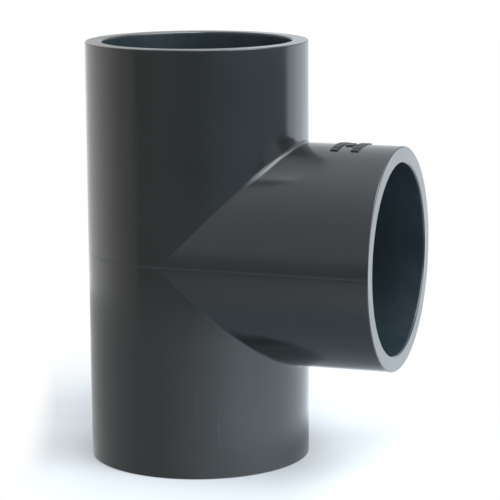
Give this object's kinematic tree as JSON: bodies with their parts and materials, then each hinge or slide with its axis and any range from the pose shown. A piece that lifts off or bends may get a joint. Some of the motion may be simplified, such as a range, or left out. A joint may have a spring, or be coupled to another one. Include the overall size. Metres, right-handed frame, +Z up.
{
  "type": "pipe tee fitting",
  "caption": "Equal 90 degree PVC-U pipe tee with plain solvent-cement sockets, moulded in one piece with stop shoulders and an open waterway.",
  "frame": {"origin": "centre of the lower run socket's mouth, on the plane of the rim that the tee stands on", "axes": "+Z up along the run, +X along the branch, out of its mouth"},
  "size_m": [0.1071, 0.0742, 0.14],
  "materials": {
    "pvc_u": "dark blue-grey rigid PVC-U with a semi-gloss moulded skin, fine scuffs and a slight waviness"
  },
  "bodies": {
    "root": {"tee_body": "pvc_u"}
  },
  "joints": []
}
